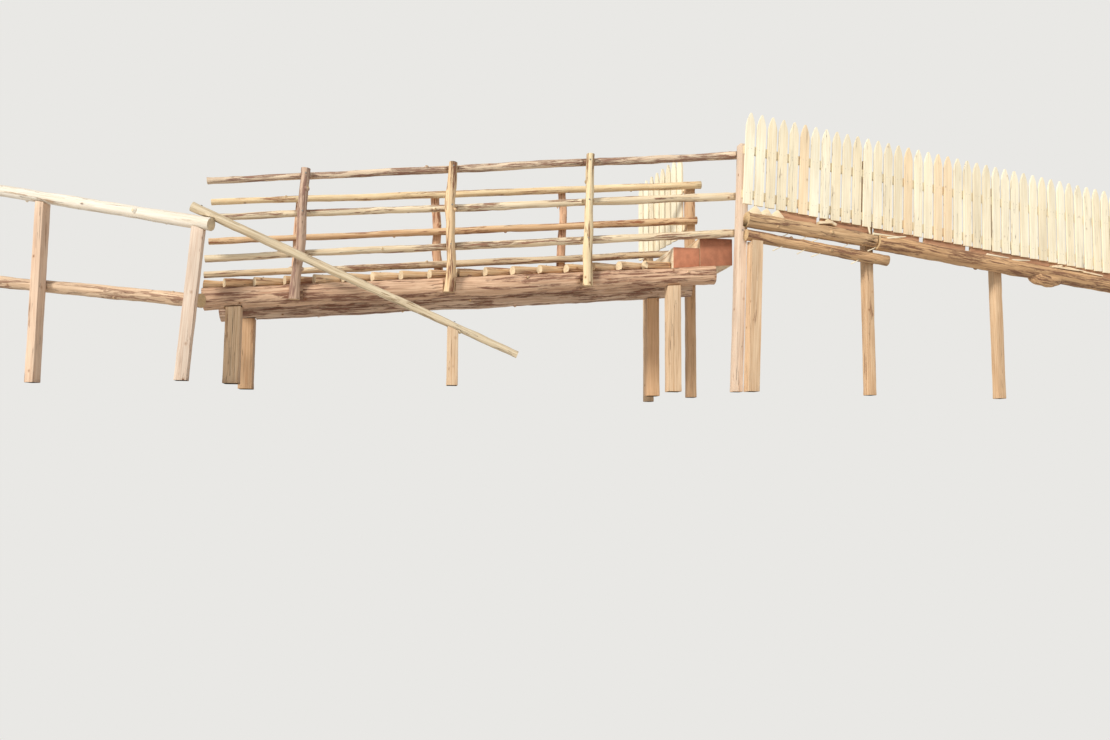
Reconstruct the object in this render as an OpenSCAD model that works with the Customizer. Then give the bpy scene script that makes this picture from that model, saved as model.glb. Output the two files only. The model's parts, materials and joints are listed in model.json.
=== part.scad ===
// Log footbridge with pole railings, two timber steps, a handrail that leads to it and a picket fence
// that leads away from it. Lengths are in millimetres and angles in degrees. The origin is at the foot
// of the near left leg, X runs along the bridge to the right, Y across it to the far side and Z up.
// Terms: the deck line is the top of the deck poles. The lap plane is where posts bear on beams and rails.

/* [Bridge] */
// Height of the deck line over the floor, above the left legs
deck_h = 1009; // [850:1:1100]
// Rise of the bridge towards its right end
slope = 4.87; // [3:0.01:7]
// Distance between the centre lines of the two railings
railing_gap = 898; // [840:1:1100]
// Clearance at every seat, where one piece bears on another
fit = 0.3; // [0.1:0.1:1]

/* [Beams] */
// How far the beams run out to the left of the left legs
beam_left = 280; // [270:1:320]
// Distance from the left legs to the right end of the beams
beam_right = 4775; // [4600:1:4900]
// Butt diameter of the beams, at their left end
beam_butt_d = 240; // [220:1:250]
// Tip diameter of the beams, at their right end
beam_tip_d = 214; // [200:1:224]
// Depth hewn off the top of the butt, where the deck lies
beam_hewn = 30; // [24:1:40]
// Depth hewn off the outer side of the butt, where the posts bear
beam_lap = 28; // [22:1:34]

/* [Legs] */
// Width of the squared legs
leg_w = 140; // [120:1:160]
// Distance between the left and the right legs
leg_gap = 4325; // [4000:1:4400]
// Depth of the seat that is hewn for a leg into the underside of the butt
leg_seat = 23; // [20:1:40]

/* [Deck] */
// Diameter of the peeled deck poles
pole_d = 106; // [90:1:108]
// Distance between neighbouring deck poles, along the bridge
pole_pitch = 275; // [270:1:310]
// Angle between the deck poles and the bridge
pole_skew = 25; // [25:0.5:32]
// How deep the deck poles are notched over the beams
pole_notch = 14; // [12:1:28]

/* [Steps] */
// Distance from the left legs to the face of the lower step
step_x = 4332; // [4250:1:4400]
// Run of the lower step
lower_run = 288; // [240:1:300]
// Run of the upper step
upper_run = 360; // [280:1:380]
// Rise from the deck to the lower step
lower_rise = 133; // [100:1:150]
// Rise from the lower to the upper step
upper_rise = 115; // [90:1:130]
// Room between the steps' ends and the rails
step_play = 8; // [5:1:30]
// Width of the bevel along the edges of the steps
step_bevel = 6; // [3:1:12]

/* [Railings] */
// Height of the near top rail's centre line over the deck line, at the left legs
top_rail_h = 948; // [880:1:1080]
// Height of the near middle rail's centre line over the deck line, at the left legs
middle_rail_h = 587; // [540:1:640]
// Height of the near bottom rail's centre line over the deck line, at the left legs
bottom_rail_h = 194; // [180:1:260]
// Tip diameter of the rails, at their left end
rail_tip_d = 74; // [70:1:84]
// Butt diameter of the rails, at their right end
rail_butt_d = 94; // [88:1:100]
// Depth of the flat by which a rail bears on a post, at the tip
rail_lap = 4; // [4:1:8]
// Foot diameter of the round railing posts
post_foot_d = 104; // [96:1:112]
// Head diameter of the round railing posts
post_head_d = 98; // [88:1:106]
// Depth of the flat along the foot of a round post
post_lap = 11; // [8:1:16]
// How far the round posts reach below the deck line
post_drop = 260; // [220:1:270]
// Width of the squared end posts
end_post_w = 105; // [100:1:120]

/* [Handrail] */
// Height of the newel post, at the left end of the bridge
newel_h = 1408; // [1380:1:1450]
// Width of the newel post
newel_w = 108; // [100:1:120]
// Width of the other two handrail posts
handrail_post_w = 98; // [92:1:110]
// Distance between neighbouring handrail posts
handrail_bay = 1707; // [1500:1:1900]
// Rise of the handrail away from the bridge
handrail_rise = 11; // [6:0.1:14]
// Angle in plan between the handrail and the bridge
handrail_turn = 22.5; // [20:0.5:25]
// Butt diameter of the handrail, at its newel post
handrail_butt_d = 132; // [120:1:140]
// Tip diameter of the handrail
handrail_tip_d = 118; // [100:1:120]
// How far the handrail runs past its first and last posts
handrail_over = 135; // [100:1:160]
// Depth of the saddles in which poles lie on post heads and on each other
saddle = 18; // [10:1:20]
// Diameter of the log along the path's edge
edge_log_d = 140; // [136:1:144]
// Rise of the log along the path's edge
edge_log_rise = 6.5; // [4:0.1:8]

/* [Descending rail] */
// Fall of the descending rail to the right
descent = 23.2; // [22:0.05:25]
// Butt diameter of the descending rail, at its upper end
descent_butt_d = 98; // [90:1:106]
// Tip diameter of the descending rail
descent_tip_d = 80; // [72:1:86]
// Length of the descending rail
descent_len = 3290; // [2900:1:3400]
// Distance from the left legs to the short post under the descending rail
short_post_x = 2050; // [1800:1:2150]
// Width of the short post
short_post_w = 105; // [90:1:120]

/* [Picket fence] */
// Number of pickets in the middle bay; the first bay has one less and the last bay one more
bay_pickets = 13; // [12:1:14]
// Number of pickets in the wing
wing_pickets = 8; // [6:1:10]
// Width of a picket
picket_w = 110; // [100:1:120]
// Gap between pickets
picket_gap = 18; // [12:1:24]
// Thickness of a picket
picket_t = 22; // [18:1:28]
// Height of a picket
picket_h = 975; // [850:1:1000]
// Lean of the fence's first picket away from the bridge
first_lean = 3.4; // [0:0.1:4]
// Lean of the fence's last picket away from the bridge
last_lean = 1; // [0:0.1:3]
// Height of a picket's shaped tip
tip_h = 135; // [120:1:180]
// Width of a picket's blunt top
tip_w = 16; // [12:1:40]
// Thickness of the fence rails
fence_rail_t = 45; // [35:1:60]
// Height of the fence rails
fence_rail_w = 82; // [70:1:110]
// Width of the fence posts
fence_post_w = 100; // [90:1:120]
// Height of the pickets' foot over the floor, at the bridge
fence_foot_h = 1940; // [1850:1:2000]
// Fall of the fence away from the bridge
fence_fall = 5.55; // [4:0.05:7]
// Angle in plan between the fence and the bridge
fence_turn = 5.5; // [3:0.5:8]
// Height of the wing pickets' foot over the floor, at the bridge
wing_foot_h = 1868; // [1850:1:2000]
// Angle in plan by which the wing turns back from square
wing_turn = 15; // [8:0.5:18]

/* [Sill logs] */
// Diameter of the upper sill log
upper_sill_d = 165; // [155:1:170]
// Diameter of the lower sill log
lower_sill_d = 130; // [120:1:134]
// Butt diameter of the long sill log
long_sill_butt_d = 190; // [180:1:196]
// Tip diameter of the long sill log
long_sill_tip_d = 180; // [170:1:190]
// Depth of the flats by which the sill logs bear on their posts
sill_lap = 10; // [6:1:14]
// Width of the squared stub post under the sill logs
stub_w = 120; // [100:1:130]

/* [Hidden] */
$fn = 48;

// Places along the bridge of the near and the far railing posts, at the deck line
near_x = [585, 2022, 3391, 5008];
far_x = [440, 1940, 3310, 4825];
// Leans of the posts towards the right
near_lean = [3, 0.9, 1.1, 2.4];
far_lean = [1.5, -0.9, 0, 0];
// How far the post heads stand above the top rail's centre line
near_head = [57, 47, 71, 93];
far_head = [10, 10, 10, 15];
// The top, middle and bottom rails: their left ends, how far they run past the middle of the end post,
// how much more than the deck they rise, and how much higher the far ones lie
near_rail_start = [-280, -200, -270];
far_rail_start = [-430, -440, -470];
near_rail_over = [40, 40, 40];
far_rail_over = [105, 55, 40];
near_rail_more = [1.4, 0.53, 0.53];
far_rail_more = [0.53, 0.5, 0.26];
far_rail_up = [36, -15, 23];
rail_h = [top_rail_h, middle_rail_h, bottom_rail_h];

// Room left beside a piece that isn't seated
play = 6;
// Longer than the whole bridge, for cutting it
whole = 24000;
// Extra length that is cut off again
spare = 200;

// Distances outwards from the bridge's middle
lap = railing_gap / 2 + rail_tip_d / 2 - rail_lap;
beam_side = lap + beam_lap - beam_butt_d / 2;
post_side = lap + post_foot_d / 2 - post_lap;
step_side = railing_gap / 2 - rail_butt_d / 2 - step_play;
pole_side = lap - play - pole_d / 2 * cos(pole_skew);

// Heights square to the deck line
beam_top_w = pole_notch - pole_d;
beam_axis_w = beam_top_w + beam_hewn - beam_butt_d / 2;
leg_top_w = beam_axis_w + leg_seat - beam_butt_d / 2;

function deck_z(x) = deck_h + x * tan(slope);

function post_x(is_far, i) = (is_far ? far_x : near_x)[i];
function post_lean(is_far, i) = (is_far ? far_lean : near_lean)[i];
function rail_slope(is_far, i) = slope + (is_far ? far_rail_more : near_rail_more)[i];
function rail_z(is_far, i, x) =
    deck_h + rail_h[i] + (is_far ? far_rail_up[i] : 0) + x * tan(rail_slope(is_far, i));
function rail_start(is_far, i) = (is_far ? far_rail_start : near_rail_start)[i];
function rail_end(is_far, i) = post_x(is_far, 3) + (is_far ? far_rail_over : near_rail_over)[i]
    + (rail_z(is_far, i, post_x(is_far, 3)) - deck_z(post_x(is_far, 3))) * tan(post_lean(is_far, 3));
// Height of a post's head over the deck line
function post_top(is_far, i) = rail_z(is_far, 0, post_x(is_far, i)) - deck_z(post_x(is_far, i))
    + (is_far ? far_head : near_head)[i];

// A log or pole that lies along X
module log(len, start_d, end_d)
    rotate([0, 90, 0]) cylinder(h = len, d1 = start_d, d2 = end_d);

// Puts pieces that are made outwards from the bridge's middle on the near or the far side
module on_side(is_far)
    translate([0, beam_side, 0]) mirror([0, is_far ? 0 : 1, 0]) children();

module on_slope()
    translate([0, 0, deck_h]) rotate([0, -slope, 0]) children();

module above(w)
    on_slope() translate([-whole / 2, -whole / 2, w]) cube(whole);

module below(w)
    on_slope() translate([-whole / 2, -whole / 2, w - whole]) cube(whole);

module below_floor()
    translate([-whole / 2, -whole / 2, -whole]) cube(whole);

// Beams
module beam_log(grow)
    translate([-beam_left, beam_side, deck_z(-beam_left) + beam_axis_w / cos(slope)])
        rotate([0, -slope, 0])
            log((beam_left + beam_right) / cos(slope), beam_butt_d + 2 * grow, beam_tip_d + 2 * grow);

module hewn_beam(grow)
    difference() {
        beam_log(grow);
        above(beam_top_w + grow);
    }

// The room outside the lap plane that a railing post takes up, with its play along the bridge
module post_room(x, lean, width)
    translate([x, lap, deck_z(x)]) rotate([0, lean, 0])
        translate([-width / 2 - play, 0, -post_drop - 2 * play])
            cube([width + 2 * play, width, post_drop + top_rail_h + 2 * spare]);

module post_rooms(is_far)
    for (i = [0:3])
        post_room(post_x(is_far, i), post_lean(is_far, i), i == 3 ? end_post_w : post_foot_d);

module leg_seat_room(x)
    intersection() {
        translate([x - leg_w / 2 - play, beam_side - leg_w, 0])
            cube([leg_w + 2 * play, 2 * leg_w, deck_z(x)]);
        below(leg_top_w);
    }

module beam(is_far)
    color("tan") difference() {
        on_side(is_far) hewn_beam(0);
        on_side(is_far) post_rooms(is_far);
        on_side(is_far) leg_seat_room(0);
        on_side(is_far) leg_seat_room(leg_gap);
        edge_log_body(fit);
    }

module leg(is_far, x)
    color("burlywood") on_side(is_far) difference() {
        translate([x - leg_w / 2, beam_side - leg_w / 2, 0]) cube([leg_w, leg_w, deck_z(x)]);
        above(leg_top_w - fit);
    }

// Deck
pole_len = 2 * pole_side / sin(pole_skew);
shortest_pole = 200;
first_pole = ceil((100 - beam_left + (shortest_pole - pole_len) * cos(pole_skew)) / pole_pitch);
last_pole = floor((100 + step_x - shortest_pole * cos(pole_skew)) / pole_pitch);

module deck_pole(k)
    on_slope() translate([k * pole_pitch - 100, -pole_side, -pole_d / 2])
        rotate([0, 0, pole_skew]) log(pole_len, pole_d, pole_d - 6);

// Every fourth part of the poles is one piece of the deck
module deck_poles(part) {
    count = last_pole - first_pole + 1;
    color("wheat") translate([0, beam_side, 0]) difference() {
        intersection() {
            for (k = [0:count - 1])
                if (floor(4 * k / count) == part) deck_pole(first_pole + k);
            translate([-beam_left, -lap, 0]) cube([step_x - play + beam_left, 2 * lap, 2 * deck_h]);
        }
        hewn_beam(fit);
        mirror([0, 1, 0]) hewn_beam(fit);
    }
}

// Steps of squared timber, hewn to the slope below and level on top
module step_timber(x, run, top)
    color("peru") translate([0, beam_side, 0]) difference() {
        rotate([90, 0, 0]) translate([0, 0, -step_side]) linear_extrude(2 * step_side)
            polygon([[x, 0], [x + run, 0], [x + run, top - step_bevel], [x + run - step_bevel, top],
                [x + step_bevel, top], [x, top - step_bevel]]);
        below(beam_top_w + fit);
    }

upper_step_x = step_x + lower_run + fit;
lower_top = deck_z(step_x) + lower_rise;
upper_top = lower_top + upper_rise;

// Railings
module rail(is_far, i)
    color("tan") on_side(is_far) difference() {
        start = rail_start(is_far, i);
        rise = rail_slope(is_far, i);
        translate([start, railing_gap / 2, rail_z(is_far, i, start)]) rotate([0, -rise, 0])
            log((rail_end(is_far, i) - start) / cos(rise), rail_tip_d, rail_butt_d);
        post_rooms(is_far);
    }

module railing_post(is_far, i)
    color("rosybrown") on_side(is_far) difference() {
        x = post_x(is_far, i);
        translate([x, post_side, deck_z(x)]) rotate([0, post_lean(is_far, i), 0])
            translate([0, 0, -post_drop])
                cylinder(h = post_drop + post_top(is_far, i), d1 = post_foot_d, d2 = post_head_d);
        translate([x - whole / 2, lap + fit - whole, 0]) cube(whole);
    }

module end_post_body(is_far, grow)
    on_side(is_far) difference() {
        x = post_x(is_far, 3);
        translate([x, lap + fit, deck_z(x)]) rotate([0, post_lean(is_far, 3), 0])
            translate([-end_post_w / 2 - grow, -grow, -deck_z(x) - spare])
                cube([end_post_w + 2 * grow, end_post_w + 2 * grow, deck_z(x) + spare + post_top(is_far, 3)]);
        below_floor();
    }

module end_post(is_far)
    color("rosybrown") end_post_body(is_far, 0);

// Handrail frame: X runs along the handrail away from the bridge, and -Y is its path side
newel_x = -280;
newel_y = -308;
newel_lean = 3.8;
// The edge log's axis at the newel post, a little below the beams' axis, so that it bears on the near beam
edge_log_h = deck_z(newel_x) + beam_axis_w / cos(slope) - 56;
edge_log_start = 15;
handrail_len = (2 * handrail_bay + 2 * handrail_over) / cos(handrail_rise);
handrail_axis_h = newel_h - saddle + handrail_butt_d / 2;

module on_handrail()
    translate([newel_x, newel_y, 0]) rotate([0, 0, 180 - handrail_turn]) children();

module handrail_body(grow)
    on_handrail() translate([0, 0, handrail_axis_h]) rotate([0, -handrail_rise, 0])
        translate([-handrail_over, 0, 0])
            log(handrail_len, handrail_butt_d + 2 * grow, handrail_tip_d + 2 * grow);

module handrail()
    color("beige") handrail_body(0);

// Cuts a post's head to the slope of the handrail, with a saddle for it
module under_handrail()
    difference() {
        children();
        on_handrail() translate([0, 0, newel_h]) rotate([0, -handrail_rise, 0])
            translate([-whole / 2, -whole / 2, 0]) cube(whole);
        handrail_body(fit);
    }

// The newel post stands square to the bridge and leans towards it
module newel_body(grow)
    difference() {
        translate([newel_x, newel_y, newel_h]) rotate([0, newel_lean, 0])
            translate([-newel_w / 2 - grow, -newel_w / 2 - grow, -newel_h - spare])
                cube([newel_w + 2 * grow, newel_w + 2 * grow, newel_h + 2 * spare]);
        below_floor();
    }

module newel_post()
    color("rosybrown") under_handrail() newel_body(0);

module handrail_post(i)
    color("rosybrown") under_handrail() on_handrail()
        translate([i * handrail_bay - handrail_post_w / 2, -handrail_post_w / 2, 0])
            cube([handrail_post_w, handrail_post_w, 2 * newel_h]);

// The log along the path's edge bears on the inner faces of the posts
module edge_log_body(grow)
    difference() {
        on_handrail() difference() {
            translate([0, -handrail_post_w / 2 - edge_log_d / 2 + 8, edge_log_h]) rotate([0, -edge_log_rise, 0])
                translate([edge_log_start - grow, 0, 0])
                    log((2 * handrail_bay + 90 - edge_log_start) / cos(edge_log_rise) + 2 * grow,
                        edge_log_d + 2 * grow, edge_log_d - 16 + 2 * grow);
            for (i = [1:2])
                translate([i * handrail_bay - handrail_post_w / 2 - play, -handrail_post_w / 2 - fit, 0])
                    cube([handrail_post_w + 2 * play, handrail_post_w, newel_h]);
        }
        newel_body(fit);
    }

module edge_log()
    color("tan") edge_log_body(0);

// The descending rail lies across the handrail over the newel post, and on its own short post
handrail_way = [-cos(handrail_rise) * cos(handrail_turn), cos(handrail_rise) * sin(handrail_turn),
    sin(handrail_rise)];
descent_way = [cos(descent), 0, -sin(descent)];
across = cross(handrail_way, descent_way);
descent_over = (handrail_butt_d / 2 + descent_butt_d / 2 - saddle) * norm(across) / abs(across.z);
descent_h = handrail_axis_h + descent_over;
descent_head = 76;

module descent_body(grow)
    translate([newel_x, newel_y, descent_h]) rotate([0, descent, 0]) translate([-descent_head, 0, 0])
        log(descent_len, descent_butt_d + 2 * grow, descent_tip_d + 2 * grow);

module descending_rail()
    color("burlywood") difference() {
        descent_body(0);
        handrail_body(fit);
    }

module short_post()
    color("rosybrown") difference() {
        h = descent_h - (short_post_x - newel_x) * tan(descent);
        translate([short_post_x - short_post_w / 2, newel_y - short_post_w / 2, 0])
            cube([short_post_w, short_post_w, h]);
        translate([short_post_x, newel_y, h - 30]) rotate([0, descent, 0])
            translate([-whole / 2, -whole / 2, 0]) cube(whole);
        descent_body(fit);
    }

// Fence frame: X runs along the fence away from the bridge, and the pickets stand on its -Y side
picket_pitch = picket_w + picket_gap;
fence_len = 3 * bay_pickets * picket_pitch;
first_picket = -8;
bays = 3;
lower_rail_h = 118;
upper_rail_h = 590;
fence_post_head = 760;

module on_fence()
    translate([near_x[3] - 9.5, beam_side - lap - fit - end_post_w, 0])
        rotate([0, 0, fence_turn]) children();

module on_wing()
    translate([far_x[3] - end_post_w / 2 + 40, beam_side + lap + fit + end_post_w, 0])
        rotate([0, 0, 90 + wing_turn]) mirror([0, 1, 0]) children();

// A picket is sunk by a hair into its rails, which makes one piece of a panel
module picket()
    translate([0, 1 - fence_rail_t, 0]) rotate([90, 0, 0]) linear_extrude(picket_t)
        polygon([[0, 0], [picket_w, 0], [picket_w, picket_h - tip_h],
            [picket_w * 0.845, picket_h - tip_h * 0.5], [(picket_w + tip_w) / 2, picket_h],
            [(picket_w - tip_w) / 2, picket_h], [picket_w * 0.155, picket_h - tip_h * 0.5],
            [0, picket_h - tip_h]]);

// The pickets lean less and less along the fence, and the wing's stand upright
function lean_at(x, is_wing) =
    is_wing ? 0 : first_lean + (last_lean - first_lean) * (x - first_picket) / fence_len;

// Pickets in a row on their two rails, which run from the feet of rail_x to those of rail_end
module panel(x, count, rail_x, rail_end, foot_h, is_wing = false) {
    for (j = [0:count - 1]) {
        foot_x = x + j * picket_pitch;
        translate([foot_x, 0, foot_h - foot_x * tan(fence_fall)]) rotate([0, lean_at(foot_x, is_wing), 0])
            picket();
    }
    for (h = [lower_rail_h, upper_rail_h]) {
        start = rail_x + h * tan(lean_at(rail_x, is_wing));
        end = rail_end + h * tan(lean_at(rail_end, is_wing));
        translate([0, -fence_rail_t, foot_h + h]) multmatrix([[1, 0, 0, 0], [0, 1, 0, 0],
            [-tan(fence_fall), 0, 1, 0]]) translate([start, 0, -fence_rail_w / 2])
                cube([end - start, fence_rail_t, fence_rail_w]);
    }
}

// Panels meet in the middle of a gap, over a post
function pickets_in(i) = bay_pickets + i - 1;
function pickets_before(i) = i == 0 ? 0 : pickets_before(i - 1) + pickets_in(i - 1);
function joint_x(i) = first_picket + pickets_before(i) * picket_pitch - picket_gap / 2;

module fence_panel(i)
    color("lemonchiffon") difference() {
        on_fence() panel(joint_x(i) + picket_gap / 2, pickets_in(i), i == 0 ? 0 : joint_x(i),
            joint_x(i + 1) - fit, fence_foot_h);
        end_post_body(false, fit);
    }

module post_behind(x, foot_h)
    translate([x - fence_post_w / 2, fit, 0])
        cube([fence_post_w, fence_post_w, foot_h - x * tan(fence_fall) + fence_post_head]);

function fence_post_x(i) = i == bays ? joint_x(bays) - fence_post_w / 2 : joint_x(i);

module fence_post(i)
    color("burlywood") on_fence() post_behind(fence_post_x(i), fence_foot_h);

wing_end = 5 + wing_pickets * picket_pitch - picket_gap / 2;

module wing_panel()
    color("ivory") difference() {
        on_wing() panel(5, wing_pickets, -80, wing_end, wing_foot_h, true);
        end_post_body(true, fit);
    }

module wing_post()
    color("burlywood") on_wing() post_behind(wing_end - fence_post_w / 2, wing_foot_h);

// Sill logs lie below the pickets, against the fronts of the posts
sill_start = 20;
sill_joint = fence_post_x(1) + 20;
upper_sill_drop = 170;
lower_sill_drop = 326;
long_sill_drop = 152;
upper_sill_fall = fence_fall - 1.1;

module sill_body(start, end, drop, fall, start_d, end_d, grow)
    on_fence() translate([start, sill_lap - start_d / 2, fence_foot_h - drop - start * tan(fence_fall)])
        rotate([0, fall, 0]) log((end - start) / cos(fall), start_d + 2 * grow, end_d + 2 * grow);

module lower_sill_body(grow)
    sill_body(sill_start, sill_joint + 170, lower_sill_drop, fence_fall, lower_sill_d, lower_sill_d, grow);

// Cuts the flats by which a sill log bears on the posts
module on_posts()
    color("tan") difference() {
        children();
        end_post_body(false, fit);
        on_fence() for (i = [1:bays])
            translate([fence_post_x(i) - fence_post_w / 2 - play, 0, 0])
                cube([fence_post_w + 2 * play, fence_post_w, fence_foot_h]);
    }

// The stub post leans with the end post beside it
stub_x = 132;
module sill_stub()
    color("rosybrown") difference() {
        h = fence_foot_h - lower_sill_drop - stub_x * tan(fence_fall) - 50;
        on_fence() translate([stub_x, sill_lap - lower_sill_d / 2, h]) rotate([0, near_lean[3], 0])
            translate([-stub_w / 2, -stub_w / 2, -h - spare]) cube([stub_w, stub_w, h + spare]);
        lower_sill_body(fit);
        below_floor();
    }

beam(false);  // near_beam
beam(true);  // far_beam
leg(false, 0);  // near_left_leg
leg(false, leg_gap);  // near_right_leg
leg(true, 0);  // far_left_leg
leg(true, leg_gap);  // far_right_leg
for (i = [0:3])
    deck_poles(i);
step_timber(step_x, lower_run, lower_top);  // lower_step
step_timber(upper_step_x, upper_run, upper_top);  // upper_step
for (i = [0:2])
    railing_post(false, i);
for (i = [0:2])
    railing_post(true, i);
end_post(false);  // near_end_post
end_post(true);  // far_end_post
for (i = [0:2])
    rail(false, i);
for (i = [0:2])
    rail(true, i);
newel_post();
for (i = [1:2])
    handrail_post(i);
handrail();
edge_log();
descending_rail();
short_post();
for (i = [0:2])
    fence_panel(i);
for (i = [1:3])
    fence_post(i);
on_posts() sill_body(sill_start, sill_joint - fit, upper_sill_drop, upper_sill_fall,  // upper_sill_log
        upper_sill_d, upper_sill_d, 0);
on_posts() lower_sill_body(0);  // lower_sill_log
on_posts() sill_body(sill_joint, joint_x(bays), long_sill_drop, fence_fall,  // long_sill_log
        long_sill_butt_d, long_sill_tip_d, 0);
sill_stub();
wing_panel();
wing_post();
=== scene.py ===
import json
import math
import random

import bpy
from mathutils import Matrix, Vector
from bpy.props import FloatProperty, FloatVectorProperty, PointerProperty

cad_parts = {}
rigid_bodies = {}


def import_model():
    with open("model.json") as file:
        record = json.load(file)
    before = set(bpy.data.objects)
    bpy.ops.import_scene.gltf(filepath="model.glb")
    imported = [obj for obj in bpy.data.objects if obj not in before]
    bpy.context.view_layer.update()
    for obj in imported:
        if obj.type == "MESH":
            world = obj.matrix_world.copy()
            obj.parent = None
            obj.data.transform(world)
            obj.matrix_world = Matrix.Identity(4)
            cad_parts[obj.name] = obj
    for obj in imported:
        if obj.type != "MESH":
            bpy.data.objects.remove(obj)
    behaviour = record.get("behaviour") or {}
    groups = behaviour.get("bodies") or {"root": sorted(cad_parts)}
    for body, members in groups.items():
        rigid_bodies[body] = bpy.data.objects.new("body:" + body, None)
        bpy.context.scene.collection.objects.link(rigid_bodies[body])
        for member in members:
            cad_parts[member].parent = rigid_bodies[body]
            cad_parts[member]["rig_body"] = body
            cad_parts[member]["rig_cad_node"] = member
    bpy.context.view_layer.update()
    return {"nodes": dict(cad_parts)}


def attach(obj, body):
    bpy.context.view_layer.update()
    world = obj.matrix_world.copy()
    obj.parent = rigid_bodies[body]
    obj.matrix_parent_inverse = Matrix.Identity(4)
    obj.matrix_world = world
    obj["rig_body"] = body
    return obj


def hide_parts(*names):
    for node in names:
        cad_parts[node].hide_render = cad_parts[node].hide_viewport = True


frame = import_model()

bl_info = {
    "name": "Log Footbridge",
    "version": (1, 0, 0),
    "blender": (4, 5, 0),
    "location": "View3D > Sidebar > Footbridge",
    "description": "Finishes a footbridge of peeled logs with its steps, handrail and picket fence",
    "category": "Object",
}

UP = Vector((0, 0, 1))

# Sizes of the bridge that the finished timbers share with its solids, in metres and radians.
# A name that ends in _H is a height over the floor, and one that ends in _R is a radius.
SLOPE = math.radians(4.87)
DECK_H = 1.009
MIDDLE_Y = 0.390
BEAM_LEFT = -0.280
BEAM_AXIS_H = 0.8025
LEG_X = {"left": 0.0, "right": 4.325}
POLE_PITCH = 0.275
POLE_SKEW = math.radians(25)
POLE_SIDE = 0.42797
POLE_FIRST = 0.100
POLE_R = 0.053
POLE_NUMBERS = range(-7, 17)
# The stretch of a beam in which the poles are spiked down
SPIKED_LEFT, SPIKED_RIGHT = -0.20, 4.24
# Each step's pith at its near end
STEP_PITHS = {
    "lower_step": Vector((4.476, -0.004, 1.42)),
    "upper_step": Vector((4.80, -0.004, 1.48)),
}

# Distances from the bridge's middle line to the axes of the rails and posts, and to the posts'
# outer faces, where the spikes are driven
RAIL_Y = 0.449
POST_Y = 0.523
END_POST_Y = 0.5348
POST_FACE_Y = 0.5695
END_POST_FACE_Y = 0.5860
# Each rail: its look, its left end, its height there and its rise in degrees
RAILS = {
    "near_top_rail": ("barky rail", -0.280, 1.926, 6.27),
    "near_middle_rail": ("patchy rail", -0.200, 1.577, 5.40),
    "near_bottom_rail": ("patchy rail", -0.270, 1.1775, 5.40),
    "far_top_rail": ("golden rail", -0.430, 1.952, 5.40),
    "far_middle_rail": ("tan rail", -0.440, 1.540, 5.37),
    "far_bottom_rail": ("patchy rail", -0.470, 1.184, 5.13),
}
# Each railing post: its place along the bridge at the deck line, and its lean in degrees. The
# last of each side is the squared end post.
POSTS = {
    "near": ((0.585, 3.0), (2.022, 0.9), (3.391, 1.1), (5.008, 2.4)),
    "far": ((0.440, 1.5), (1.940, -0.9), (3.310, 0.0), (4.825, 0.0)),
}
ROUND_POSTS = 3
NEAR_POST_LOOKS = ("barky post", "streaked post", "peeled post")

NEWEL = Vector((-0.280, -0.308, 0))
NEWEL_H = 1.408
NEWEL_LEAN = math.radians(3.8)
HANDRAIL_H = 1.456
HANDRAIL_TURN = math.radians(22.5)
HANDRAIL_RISE = math.radians(11)
HANDRAIL_BAY = 1.707
EDGE_LOG_H = 0.7465
EDGE_LOG_INWARD = 0.111
EDGE_RISE = math.radians(6.5)
DESCENT = math.radians(23.2)
DESCENT_H = 1.5733
SHORT_POST_X = 2.05

FENCE_START = Vector((4.9985, -0.1973, 0))
FENCE_TURN = math.radians(5.5)
FENCE_FALL = math.radians(5.55)
FENCE_FOOT_H = 1.940
FENCE_LENGTH = 4.992
FENCE_LEANS = (3.4, 1.0)
# Each bay of pickets: where its first picket stands along the fence, and how many it has
FENCE_BAYS = ((-0.008, 12), (1.528, 13), (3.192, 14))
FENCE_POST_PLACES = (1.519, 3.183, 4.925)
WING_START = Vector((4.8125, 0.9773, 0))
WING_TURN = math.radians(105)
WING_FOOT_H = 1.868
WING_BAY = (0.005, 8)
WING_POST_PLACE = 0.97
PICKET_PITCH = 0.128
PICKET_W = 0.110
PICKET_SHRINK = 0.90
PICKET_FRONT = 0.0662
PICKET_BACK = 0.0439
DARK_PICKETS = (("fence_panel_1", 5), ("fence_panel_2", 3), ("fence_panel_2", 6),
                ("fence_panel_2", 7))
NAIL_HEIGHTS = (0.118, 0.590)
NAIL_SIDES = (0.036, 0.074)
NAIL_R = 0.0034
DECK_SPIKE_R = 0.007
RAIL_SPIKE_R = 0.009

# Each sill log: its left end along the fence, how far its axis lies below the pickets' feet, its
# diameter, and how much flatter than the fence it lies, in degrees
SILLS = {
    "upper_sill_log": (0.02, 0.170, 0.165, 1.1),
    "lower_sill_log": (0.02, 0.326, 0.130, 0.0),
    "long_sill_log": (1.539, 0.152, 0.190, 0.0),
}
STUB_PLACE = 0.132
STUB_OUT = 0.055
STUB_LEAN = math.radians(2.4)
# These boards are dark brown as painted shade: they fill the shaded gap under the pickets' feet.
# Each board behind the pickets' feet: its two ends along the fence, and its drop below the feet
FOOT_BOARDS = ((0.42, 0.86, 0.035), (0.90, 1.50, 0.028), (1.56, 2.12, 0.030),
               (2.18, 2.72, 0.026), (2.78, 3.86, 0.033), (3.87, 4.90, 0.028))
BOARD_OUT, BOARD_THICK, BOARD_TALL = 0.031, 0.024, 0.104
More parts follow.
